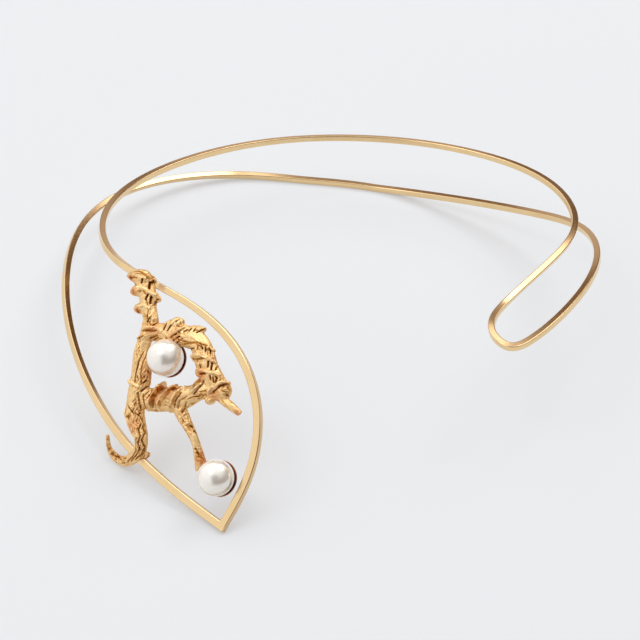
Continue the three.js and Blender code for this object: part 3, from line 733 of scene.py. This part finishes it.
# %% Short cuts
# From across, along to across, along, then width and depth, all in mm.
CUTS = [
    # the cap and its sockets
    [-44.4, 39.3, -42.7, 39.9, 0.48, 0.15], [-41.3, 40.3, -41.3, 39.4, 0.55, 0.28],
    [-40.5, 40.8, -39.8, 40.8, 0.4, 0.19], [-39.1, 39.0, -39.6, 40.1, 0.64, 0.32],
    [-39.6, 40.1, -38.8, 40.6, 0.5, 0.3], [-38.6, 40.5, -37.8, 39.7, 0.64, 0.32],
    [-37.9, 40.9, -37.2, 39.9, 0.64, 0.32], [-43.4, 38.5, -42.4, 38.2, 0.48, 0.15],
    # the trunk
    [-40.0, 38.0, -39.2, 37.5, 0.4, 0.19], [-38.6, 37.6, -38.6, 36.5, 0.58, 0.3],
    [-37.7, 37.4, -37.2, 36.1, 0.56, 0.3], [-36.4, 36.2, -36.5, 36.8, 0.4, 0.25],
    [-36.4, 36.9, -35.5, 36.4, 0.4, 0.22], [-35.5, 37.8, -35.5, 37.4, 0.56, 0.31],
    [-35.6, 33.4, -35.8, 32.2, 0.4, 0.22], [-34.1, 33.5, -33.8, 32.9, 0.36, 0.19],
    [-33.8, 32.9, -34.3, 31.9, 0.36, 0.19], [-35.6, 35.6, -35.2, 35.0, 0.4, 0.15],
    # the shoulder and the crest
    [-36.3, 29.8, -32.6, 31.3, 0.48, 0.15], [-33.5, 29.2, -32.1, 30.4, 0.48, 0.19],
    [-36.0, 28.1, -34.9, 29.3, 0.48, 0.22], [-32.8, 29.0, -31.7, 30.1, 0.48, 0.19],
    [-31.0, 32.1, -31.0, 33.6, 0.48, 0.22], [-30.0, 32.3, -29.7, 33.8, 0.4, 0.22],
    [-30.1, 35.3, -29.6, 35.9, 0.36, 0.15], [-29.1, 34.9, -28.7, 35.8, 0.36, 0.22],
    # the top of the arch and its spike
    [-27.3, 33.1, -26.4, 34.4, 0.36, 0.22], [-26.0, 33.7, -25.5, 34.5, 0.4, 0.25],
    [-24.9, 35.1, -25.0, 34.3, 0.4, 0.25], [-24.0, 35.4, -24.0, 34.7, 0.36, 0.22],
    [-23.2, 34.8, -21.9, 36.3, 0.4, 0.25], [-28.5, 31.4, -27.5, 32.7, 0.4, 0.19],
    [-27.9, 30.8, -26.5, 32.4, 0.4, 0.19], [-26.8, 30.8, -25.6, 32.2, 0.4, 0.19],
    [-30.8, 31.7, -29.6, 30.8, 0.56, 0.22], [-24.8, 31.3, -21.8, 32.9, 0.64, 0.15],
    [-21.8, 32.9, -19.7, 33.1, 0.48, 0.19], [-24.5, 30.1, -22.1, 31.4, 0.48, 0.19],
    [-21.4, 32.3, -21.0, 31.5, 0.36, 0.19], [-20.5, 32.8, -20.0, 32.1, 0.4, 0.25],
    [-19.5, 33.0, -19.2, 32.0, 0.4, 0.28], [-18.7, 32.9, -18.1, 32.0, 0.4, 0.28],
    [-17.7, 32.6, -17.1, 31.9, 0.4, 0.22],
    # under the two bands
    [-21.0, 29.3, -18.6, 30.4, 0.48, 0.19], [-17.5, 30.2, -17.1, 29.1, 0.4, 0.28],
    [-16.7, 30.2, -16.1, 28.8, 0.4, 0.28], [-15.7, 30.2, -15.4, 29.3, 0.4, 0.25],
    [-19.1, 28.7, -18.5, 28.1, 0.48, 0.22], [-18.4, 26.9, -16.9, 27.6, 0.48, 0.19],
    [-15.8, 27.6, -15.2, 26.9, 0.4, 0.28], [-15.0, 27.6, -14.4, 26.7, 0.4, 0.28],
    [-14.2, 27.9, -14.0, 26.9, 0.4, 0.28], [-13.3, 27.8, -13.4, 26.9, 0.4, 0.22],
    # the strap and the knee
    [-17.7, 22.5, -17.2, 24.3, 0.48, 0.22], [-17.2, 24.3, -16.8, 26.0, 0.48, 0.22],
    [-13.6, 24.7, -12.7, 26.5, 0.48, 0.22], [-12.7, 26.5, -11.5, 27.6, 0.44, 0.19],
    [-11.3, 27.1, -10.5, 26.5, 0.36, 0.19], [-12.0, 25.9, -11.2, 25.8, 0.4, 0.19],
    [-10.6, 25.3, -9.5, 25.1, 0.4, 0.22], [-10.0, 26.2, -9.2, 25.4, 0.36, 0.19],
    [-16.5, 23.5, -15.3, 24.4, 0.4, 0.12], [-16.1, 22.7, -14.5, 23.8, 0.4, 0.12],
    # the swirl
    [-20.9, 18.1, -21.1, 19.7, 0.4, 0.19], [-21.1, 19.7, -20.7, 21.6, 0.4, 0.19],
    [-20.1, 18.2, -20.2, 19.9, 0.36, 0.15], [-20.2, 19.9, -19.0, 21.4, 0.36, 0.15],
    [-18.8, 17.6, -18.8, 19.1, 0.36, 0.15], [-18.8, 19.1, -18.7, 20.2, 0.36, 0.15],
    [-17.4, 18.0, -17.7, 19.5, 0.36, 0.15],
    # behind the rims of the discs
    [-26.0, 15.9, -26.4, 17.8, 0.66, 0.14], [-26.4, 17.8, -26.2, 19.7, 0.66, 0.14],
    [-26.2, 19.7, -25.3, 21.5, 0.6, 0.14], [-24.3, 17.1, -24.4, 18.7, 0.48, 0.14],
    [-24.4, 18.7, -23.9, 20.5, 0.6, 0.15], [-23.9, 20.5, -22.3, 22.3, 0.6, 0.15],
    [-25.0, 15.4, -25.5, 17.1, 0.48, 0.28],
    # the left limb
    [-30.8, 19.3, -30.1, 20.6, 0.4, 0.22], [-30.1, 17.9, -29.5, 19.5, 0.4, 0.22],
    [-29.1, 17.1, -28.5, 18.7, 0.4, 0.22], [-28.0, 17.2, -27.6, 18.6, 0.4, 0.22],
    [-32.5, 18.2, -30.8, 18.2, 0.36, 0.15], [-31.9, 13.9, -29.6, 12.9, 0.4, 0.22],
    [-32.5, 20.5, -31.7, 19.9, 0.36, 0.15], [-30.9, 21.2, -31.2, 20.1, 0.4, 0.19],
    [-29.4, 19.9, -27.9, 19.2, 0.36, 0.15],
    # the stem
    [-15.9, 16.0, -15.4, 15.9, 0.48, 0.22], [-14.7, 15.3, -14.3, 15.2, 0.48, 0.22],
    [-11.0, 12.0, -10.0, 11.6, 0.64, 0.22], [-12.3, 11.8, -11.9, 11.4, 0.36, 0.15],
    [-10.9, 10.8, -10.3, 10.6, 0.36, 0.15], [-11.1, 13.3, -10.4, 12.9, 0.4, 0.15],
]
print("cuts:", len(CUTS))

# %% Height of the cords and depth of the cuts
def off_path(points, places):
    """Distance in the leaf's plane from each point to the nearest of a path's straight pieces."""
    gaps = []
    for start, end in zip(np.array(places), np.array(places[1:])):
        span = end - start
        part = np.clip(((points[:, :2] - start) @ span) / (span @ span), 0, 1)
        gaps.append(np.linalg.norm(points[:, :2] - start - part[:, None] * span, axis=1))
    return np.min(gaps, axis=0)


def round_profile(distance, width):
    return np.clip(1 - (distance / (width / 2)) ** 2, 0, 1)


def tool_marks(points):
    """Height of the cords and depth of the grooves and cuts at these points, in mm."""
    raised, cut = np.zeros(len(points)), np.zeros(len(points))
    for height, width, places in CORDS.values():
        raised = np.maximum(raised, height * round_profile(off_path(points, places), width))
    short_cuts = [[width, depth, [ends[:2], ends[2:]]] for *ends, width, depth in CUTS]
    for width, depth, places in [*short_cuts, *GROOVES.values()]:
        cut = np.maximum(cut, depth * round_profile(off_path(points, places), width))
    return raised, cut


# %% Where a red-brown skin was left
RED_SKIN = [
    # across, along and radius in mm, then how strong it is
    [-26.1, 18.0, 1.6, 0.4], [-25.8, 20.4, 1.4, 0.4], [-23.8, 20.9, 1.6, 0.4], [-22.7, 22.2, 1.0, 0.4],
    [-42.6, 36.7, 1.2, 0.6], [-44.6, 38.9, 1.2, 0.6], [-39.4, 33.2, 0.9, 0.6], [-18.0, 26.9, 1.2, 0.7],
    [-10.8, 11.9, 1.0, 0.9], [-10.1, 10.3, 1.6, 0.7], [-37.0, 40.2, 1.3, 0.8], [-13.0, 24.1, 1.2, 0.5],
    [-7.2, 22.8, 0.8, 0.6], [-29.6, 22.6, 2.4, 0.45], [-33.6, 31.0, 1.6, 0.4], [-27.6, 31.6, 1.8, 0.35],
    [-28.6, 10.6, 1.6, 0.4], [-16.4, 31.6, 1.0, 0.5],
]


def red_skin(points):
    red = np.zeros(len(points))
    for across, along, radius, strength in RED_SKIN:
        away = np.linalg.norm(points[:, :2] - [across, along], axis=1)
        red = np.maximum(red, strength * np.clip(1.4 - away / radius, 0, 1))
    return red


print("patches of red-brown skin:", len(RED_SKIN))

# %% Raise the bark and the marks
FRONT_LEAD = 0.3
HOLLOW_LEVEL = 0.29
HOLLOW_DEPTH = 0.36
CUT_DARKNESS = 0.4


def raise_bark(obj):
    """Moves the skin in and out, and keeps how hollow and how red each point is for the finish."""
    places = to_leaf(skin_points(obj))
    total = np.zeros(len(places))
    weights = np.zeros(len(places))
    for name, line in limb_lines.items():
        place = place_on_limb(places, line)
        weight = np.exp(-LIMB_MIX * place[2])
        total += weight * bark_height(places, name, place)
        weights += weight
    normals = np.empty(len(places) * 3)
    obj.data.vertices.foreach_get("normal", normals)
    normals = normals.reshape(-1, 3)
    # The marks fade out towards the back, and the bark is fainter where a mark lies on it.
    front = np.clip(FRONT_LEAD + normals @ leaf_front, 0, 1)
    raised, cut = (front * mark for mark in tool_marks(places))
    height = total / weights * np.clip(1 - 2 * raised - 2 * cut, 0.2, 1) + raised - cut
    moved = skin_points(obj) + normals * height[:, None]
    obj.data.vertices.foreach_set("co", (moved * MM).ravel())
    # How hollow each point is, more so in the cuts; the finish darkens it as oxide and painted shade.
    keep_on_points(obj, "hollow", np.clip(HOLLOW_LEVEL - height / HOLLOW_DEPTH + CUT_DARKNESS * cut, 0, 1))
    keep_on_points(obj, "red_skin", red_skin(places) * (0.5 + 0.5 * front))
    obj.data.update()
    return height


bark = raise_bark(cast_branch)
print("bark from", round(bark.min(), 2), "to", round(bark.max(), 2), "mm")

# %% [markdown]
# ## Pearls and their cups
# Each pearl has a blind hole up its back. It is glued on a thin peg that stands in a shallow gold cup.
# Both are round about one axis, so a profile spun round that axis makes each of them. A ready-made
# sphere would have no hole, and a cup needs its wall, its rim and its peg in one outline.

# %% Spin a profile round a pearl's axis
PEARLS = {
    # across, along, lift, radius
    "upper_pearl": [-27.8, 26.8, 3.0, 4.1],
    "lower_pearl": [-5.1, 8.5, 2.4, 4.0],
}
SPIN_SIDES = 96


def arc(radius, start, end, steps):
    """Points (out from the axis, forward) of a circle. Angles are from straight behind, in degrees."""
    angles = np.radians(np.linspace(start, end, steps + 1))
    return np.column_stack([radius * np.sin(angles), -radius * np.cos(angles)])


def spin(profile, centre):
    """A profile that starts and ends on the axis, spun round it."""
    angles = np.arange(SPIN_SIDES) * 2 * np.pi / SPIN_SIDES
    middle = profile[1:-1]
    rings = np.stack([
        middle[:, :1] * np.cos(angles),
        middle[:, :1] * np.sin(angles),
        np.repeat(middle[:, 1:], SPIN_SIDES, axis=1),
    ], axis=-1)
    points, faces = closed_tube(rings, [[0, 0, profile[0, 1]], [0, 0, profile[-1, 1]]])
    return points + centre, faces


# %% Cups and pearls
PEARL_HOLE_RADIUS = 0.75
PEG_RADIUS = 0.45
PEG_REACH = 1.2
CUP_GAP = 0.22
CUP_WALL = 0.3
CUP_RIM_ANGLE = 60


def cup_with_peg(across, along, lift, radius):
    inside = radius + CUP_GAP
    peg_angle = np.degrees(np.arcsin(PEG_RADIUS / inside))
    middle = inside + CUP_WALL / 2
    rim = middle * np.array([np.sin(np.radians(CUP_RIM_ANGLE)), -np.cos(np.radians(CUP_RIM_ANGLE))])
    round_rim = []
    for turn in np.radians(np.linspace(0, 180, 7)[1:-1]):
        out_way = rim / middle
        up_way = np.array([-out_way[1], out_way[0]])
        round_rim.append(rim + CUP_WALL / 2 * (np.cos(turn) * out_way + np.sin(turn) * up_way))
    profile = np.vstack([
        arc(inside + CUP_WALL, 0, CUP_RIM_ANGLE, 24),
        round_rim,
        arc(inside, CUP_RIM_ANGLE, peg_angle, 24),
        [[PEG_RADIUS, PEG_REACH - radius], [0, PEG_REACH - radius]],
    ])
    return spin(profile, [across, along, lift])


def pearl(across, along, lift, radius):
    hole_top = PEG_REACH + PEARL_HOLE_RADIUS - PEG_RADIUS - radius
    mouth = np.degrees(np.arcsin(PEARL_HOLE_RADIUS / radius))
    profile = np.vstack([
        [[0, hole_top], [PEARL_HOLE_RADIUS, hole_top]],
        arc(radius, mouth, 180, 64),
    ])
    return spin(profile, [across, along, lift])


cup_points, cup_faces = gather([cup_with_peg(*sizes) for sizes in PEARLS.values()])
pearl_cups = finish_mesh(mesh_object("pearl_cups", from_leaf(cup_points), cup_faces), sharp_angle=50)
pearl_beads = {}
for name, sizes in PEARLS.items():
    points, faces = pearl(*sizes)
    bead = mesh_object(name + "_bead", from_leaf(points), faces)
    pearl_beads[name] = finish_mesh(bead, sharp_angle=60)
print("cup faces:", len(pearl_cups.data.polygons), "and faces of a pearl:", len(faces))

# %% [markdown]
# ## Finishes
# Every colour is written as the hex value that a colour picker gives, and one function turns it into
# the linear numbers that light is reckoned in. One more function adds a node to a material, and the
# short helpers after it name the few kinds of node that the finishes share.

# %% Colour and node helpers
def linear(hex_colour):
    """An sRGB hex colour as linear red, green, blue and alpha."""
    parts = [int(hex_colour[i : i + 2], 16) / 255 for i in (1, 3, 5)]
    return [p / 12.92 if p <= 0.04045 else ((p + 0.055) / 1.055) ** 2.4 for p in parts] + [1.0]


def set_inputs(tree, node, inputs):
    """Sets a node's inputs, each to a number, a hex colour or another node's output."""
    for name, value in inputs.items():
        if isinstance(value, bpy.types.NodeSocket):
            tree.links.new(value, node.inputs[name])
        elif isinstance(value, str):
            node.inputs[name].default_value = linear(value)
        else:
            node.inputs[name].default_value = value


def add_node(tree, kind, settings=None, inputs=None):
    """Adds a node with its settings and its inputs."""
    node = tree.nodes.new(kind)
    for name, value in (settings or {}).items():
        setattr(node, name, value)
    set_inputs(tree, node, inputs or {})
    return node


def new_material(name):
    """An empty material with its output, its tree and its shader."""
    material = bpy.data.materials.new(name)
    material.use_nodes = True
    tree = material.node_tree
    tree.nodes.clear()
    shader = add_node(tree, "ShaderNodeBsdfPrincipled")
    add_node(tree, "ShaderNodeOutputMaterial", None, {"Surface": shader.outputs["BSDF"]})
    return material, tree, shader


# %% Patterns and mixes
def mottle(tree, size, detail=2.0):
    """Soft patches of about this size in mm, from 0 to 1."""
    place = add_node(tree, "ShaderNodeTexCoord").outputs["Object"]
    inputs = {"Vector": place, "Scale": 1 / (size * MM), "Detail": detail}
    return add_node(tree, "ShaderNodeTexNoise", None, inputs).outputs["Fac"]


def kept_value(tree, name):
    """A value that was kept on each point of the mesh."""
    return add_node(tree, "ShaderNodeAttribute", {"attribute_name": name}).outputs["Fac"]


def mix_colours(tree, factor, first, second, way="MIX"):
    settings = {"data_type": "RGBA", "blend_type": way}
    inputs = {"Factor": factor, "A": first, "B": second}
    return add_node(tree, "ShaderNodeMix", settings, inputs).outputs["Result"]


def stretch(tree, value, given, wanted, way="LINEAR"):
    """Moves a value from the range it has to the range that is wanted."""
    limits = zip(("From Min", "From Max", "To Min", "To Max"), given + wanted)
    inputs = {"Value": value, **dict(limits)}
    return add_node(tree, "ShaderNodeMapRange", {"interpolation_type": way}, inputs).outputs["Result"]


def reckon(tree, operation, first, second, clamp=False):
    """Two values put together, as by ADD or MAXIMUM."""
    settings = {"operation": operation, "use_clamp": clamp}
    return add_node(tree, "ShaderNodeMath", settings, {0: first, 1: second}).outputs["Value"]


def ramp(tree, value, tones):
    """Colours that a value runs through, each with its place from 0 to 1, in rising order."""
    node = add_node(tree, "ShaderNodeValToRGB", None, {"Fac": value})
    stops = node.color_ramp.elements
    while len(stops) < len(tones):
        stops.new(1.0)
    for stop, (place, tone) in zip(stops, tones):
        stop.position = place
        stop.color = linear(tone)
    return node.outputs["Color"]


def bumps(tree, height, strength, depth):
    """The way the surface faces once these bumps, of this depth in mm, are on it."""
    inputs = {"Height": height, "Strength": strength, "Distance": depth * MM}
    return add_node(tree, "ShaderNodeBump", None, inputs).outputs["Normal"]


# %% [markdown]
# ### Polished yellow gold
# The wire was drawn, filed and buffed. Gold has no colour of its own apart from what it mirrors, so
# the base colour is the tint of its reflections: a pale warm yellow. The narrow faces are painted a
# deeper tint, a painted shade for the dark reflections they show. Buffing leaves faint lengthwise
# waviness and a slightly uneven gloss, which a mirror-smooth metal would lack. Beside the two joints
# the torch left small red-brown stains.

# %% Stains beside the solder
# Leaf coordinates: across, along, lift and radius in mm.
SOLDER_STAINS = [[-37.2, 40.5, 0.0, 1.3], [-24.0, 4.6, 0.0, 1.2]]


def solder_stain(points):
    stain = np.zeros(len(points))
    for *centre, radius in SOLDER_STAINS:
        away = np.linalg.norm(points - centre, axis=1)
        stain = np.maximum(stain, np.clip(1.2 - away / radius, 0, 0.8))
    return stain


stain = solder_stain(to_leaf(skin_points(neck_wire)))
keep_on_points(neck_wire, "solder_stain", stain)
print("stained points on the wire:", np.count_nonzero(stain))

# %% Polished gold
BUFF_WAVE = 6.0
BUFF_GRAIN = 0.35


def polished_gold():
    material, tree, gold = new_material("polished_yellow_gold")
    wave = mottle(tree, BUFF_WAVE)
    buffed = mix_colours(tree, wave, "#E9C892", "#F3D7A8")
    # The narrow faces get a deeper tint: painted shade for their dark reflections.
    shaded_sides = mix_colours(tree, kept_value(tree, "narrow_side_shade"), buffed, "#DDBA8C")
    set_inputs(tree, gold, {
        "Metallic": 1.0,
        "Base Color": mix_colours(tree, kept_value(tree, "solder_stain"), shaded_sides, "#8A4A2A"),
        "Roughness": stretch(tree, mottle(tree, BUFF_GRAIN, 3.0), (0.3, 0.7), (0.14, 0.24)),
        "Normal": bumps(tree, wave, 0.15, 0.02),
    })
    return material


# %% [markdown]
# ### Cast gold with dark hollows
# A casting keeps the skin of its mould: fine, dull and a little more orange than the buffed wire. The
# maker leaves the brown oxide in the grooves and rubs the tops bright, and in a few places a thin
# red-brown skin stays on the tops too. The dark in the hollows and cuts is partly that oxide and partly
# painted shade, for the shade that falls in them. The mesh already knows how hollow and how red each
# point is, so those two values mix the colours and the gloss.

# %% Cast gold
CAST_GRAIN = 0.18
CAST_SPECKLE = 0.4
# Bright tops to dark hollows: the dark end is oxide and painted shade.
RUBBED_TO_OXIDE_AND_SHADE = [(0.3, "#F5D29B"), (0.6, "#D59D53"), (1.0, "#5E2C08")]


def cast_gold():
    material, tree, gold = new_material("cast_yellow_gold")
    hollow = kept_value(tree, "hollow")
    speckle = stretch(tree, mottle(tree, CAST_SPECKLE), (0.25, 0.75), (-0.15, 0.15))
    colour = ramp(tree, reckon(tree, "ADD", hollow, speckle, clamp=True), RUBBED_TO_OXIDE_AND_SHADE)
    set_inputs(tree, gold, {
        "Metallic": 1.0,
        "Base Color": mix_colours(tree, kept_value(tree, "red_skin"), colour, "#DE9468", "MULTIPLY"),
        "Roughness": stretch(tree, hollow, (0.0, 1.0), (0.36, 0.6)),
        "Normal": bumps(tree, mottle(tree, CAST_GRAIN, 4.0), 0.35, 0.04),
    })
    return material


# %% [markdown]
# ### Nacre
# A pearl's nacre is thin clear plates on plates. Light goes in a little way and comes back soft, while
# the surface keeps a clear gloss. A little light is let through under a glossy coat, and a faint pink
# and cream cloud runs through the white.

# %% Nacre
NACRE_CLOUD = 3.5


def nacre():
    material, tree, pearl_skin = new_material("white_nacre")
    set_inputs(tree, pearl_skin, {
        "Base Color": mix_colours(tree, mottle(tree, NACRE_CLOUD), "#FCFAF0", "#FDF6EE"),
        "Metallic": 0.45,
        "Roughness": 0.26,
        "IOR": 1.53,
        "Subsurface Weight": 0.2,
        "Subsurface Radius": (1.0, 0.8, 0.6),
        "Subsurface Scale": 0.8 * MM,
        "Coat Weight": 0.7,
        "Coat IOR": 1.6,
        "Coat Roughness": 0.08,
    })
    return material


# %% [markdown]
# ### Cup gold painted dark
# The cups are painted a dark, mottled red-brown: painted shade for the dark crescent beside each
# pearl, where the cup's outer side and the gap beside the pearl lie in shade.

# %% Cup gold painted dark
BROWN_CLOUD = 1.2


def cup_gold_painted_dark():
    material, tree, gold = new_material("painted_dark_cup_gold")
    set_inputs(tree, gold, {
        "Metallic": 1.0,
        # The dark red-brown is painted shade for the crescent beside each pearl.
        "Base Color": mix_colours(tree, mottle(tree, BROWN_CLOUD), "#84462C", "#C47C54"),
        "Roughness": 0.42,
    })
    return material


# %% Dress the pieces
def dress(obj, material, node):
    """Gives a piece its material, hangs it on the root body and hides the solid that it is built in place
    of.
    """
    obj.data.materials.clear()
    obj.data.materials.append(material)
    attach(obj, "root")
    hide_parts(node)


white = nacre()
dress(neck_wire, polished_gold(), "gold_neck_ring")
dress(pearl_cups, cup_gold_painted_dark(), "gold_neck_ring")
dress(cast_branch, cast_gold(), "gold_neck_ring")
for name, bead in pearl_beads.items():
    dress(bead, white, name)
for obj in (neck_wire, cast_branch, pearl_cups, *pearl_beads.values()):
    print(obj.name, "is", obj.active_material.name.replace("_", " "))

# %% [markdown]
# ## Table, light and camera
# The ring lies on white paper that glows a little, painted light as from a lit panel under it, so
# its shadows stay pale. Polished gold shows mostly what stands round it: three soft boxes light the
# ring, three small cards at the back and at the sides draw more pale strips on the wire, and the dim
# brown room between them draws the brown ones.

# %% Pale table
# In metres, so large that its edge stays out of sight.
TABLE_SIZE = 6.0


def pale_paper():
    material, tree, paper = new_material("pale_paper")
    set_inputs(tree, paper, {
        "Base Color": "#B4B6B9",
        "Roughness": 0.9,
        # The paper's glow is painted light that keeps the shadows on it pale.
        "Emission Color": "#E2E5E8",
        "Emission Strength": 0.43,
    })
    return material


half = TABLE_SIZE / 2 / MM
table = mesh_object(
    "table", [[-half, -half, 0], [half, -half, 0], [half, half, 0], [-half, half, 0]], [(0, 1, 2, 3)]
)
table.data.materials.append(pale_paper())
table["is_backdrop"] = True

# %% Soft boxes and cards
# heading and rise are in degrees, heading from +X towards +Y. distance and size are in metres.
LIGHTS = {
    # heading, rise, distance, size, watts
    "key": [42, 56, 2.0, 1.0, 9.6],
    "back": [112, 50, 1.5, 0.75, 2.2],
    "left": [190, 62, 0.7, 0.3, 0.7],
    "back_card": [86, 6, 1.0, 0.42, 0.28],
    "side_card": [55, 39, 1.0, 0.28, 0.55],
    "right_card": [9, 3, 1.0, 0.22, 0.25],
}
middle = (Vector(cad_box[0]) + Vector(cad_box[1])) / 2


def soft_box(name, heading, rise, distance, size, power):
    """A square white light that looks at the ring."""
    lamp = bpy.data.lights.new(name, "AREA")
    lamp.shape = "SQUARE"
    lamp.size = size
    lamp.energy = power
    box = bpy.data.objects.new(name, lamp)
    turn, tilt = np.radians(heading), np.radians(rise)
    way = Vector((np.cos(tilt) * np.cos(turn), np.cos(tilt) * np.sin(turn), np.sin(tilt)))
    box.location = middle + way * distance
    box.rotation_euler = way.to_track_quat("Z", "Y").to_euler()
    box.visible_camera = False
    bpy.context.scene.collection.objects.link(box)


for name, settings in LIGHTS.items():
    soft_box(name, *settings)
print("lights:", len(LIGHTS))

# %% The room
# A white wall on the left and a pale ceiling, with a darker, browner room behind and on the right.
# The room is dim round the way to the lens, where the person with the camera stands.
WALL_LIGHT = 0.88
CEILING_LIGHT = 0.9
ROOM_LIGHT = 1.1
LENS_WAY = (0, -0.766, 0.643)

world = bpy.data.worlds.new("room")
world.use_nodes = True
tree = world.node_tree
way = add_node(tree, "ShaderNodeTexCoord").outputs["Generated"]
part = add_node(tree, "ShaderNodeSeparateXYZ", None, {"Vector": way})
near_lens = add_node(tree, "ShaderNodeVectorMath", {"operation": "DOT_PRODUCT"}, {0: way, 1: LENS_WAY})
off_lens = stretch(tree, near_lens.outputs["Value"], (0.99, 0.88), (0.15, 1.0), "SMOOTHSTEP")
wall = stretch(tree, part.outputs["X"], (-0.15, -0.55), (0.0, WALL_LIGHT), "SMOOTHSTEP")
ceiling = stretch(tree, part.outputs["Z"], (0.3, 1.0), (0.0, CEILING_LIGHT), "SMOOTHSTEP")
bright_part = reckon(tree, "MAXIMUM", wall, ceiling)
set_inputs(tree, tree.nodes["Background"], {
    "Color": ramp(tree, bright_part, [(0.0, "#63472C"), (1.0, "#FFFFFF")]),
    "Strength": reckon(tree, "MULTIPLY", off_lens, ROOM_LIGHT),
})
bpy.context.scene.world = world
bpy.context.scene.view_settings.view_transform = "Standard"

# %% Camera
CAMERA_RISE = np.radians(40)
CAMERA_DISTANCE = 0.482
CAMERA_TARGET = Vector((-2.0, -7.6, 12.0)) * MM
FOCAL_LENGTH = 118
SENSOR_WIDTH = 36

lens = bpy.data.cameras.new("camera")
lens.lens = FOCAL_LENGTH
lens.sensor_width = SENSOR_WIDTH
lens.clip_start = 0.01
camera = bpy.data.objects.new("camera", lens)
back = Vector((0, -np.cos(CAMERA_RISE), np.sin(CAMERA_RISE)))
camera.location = CAMERA_TARGET + back * CAMERA_DISTANCE
camera.rotation_euler = back.to_track_quat("Z", "Y").to_euler()
bpy.context.scene.collection.objects.link(camera)
bpy.context.scene.camera = camera

# %% The sizes of both boxes
visual_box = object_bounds()
sizes = {
    "cad_box_m": [list(map(float, corner)) for corner in cad_box],
    "visual_box_m": [list(map(float, corner)) for corner in visual_box],
}
print("visual box in mm:", [[round(v / MM, 2) for v in corner] for corner in visual_box])
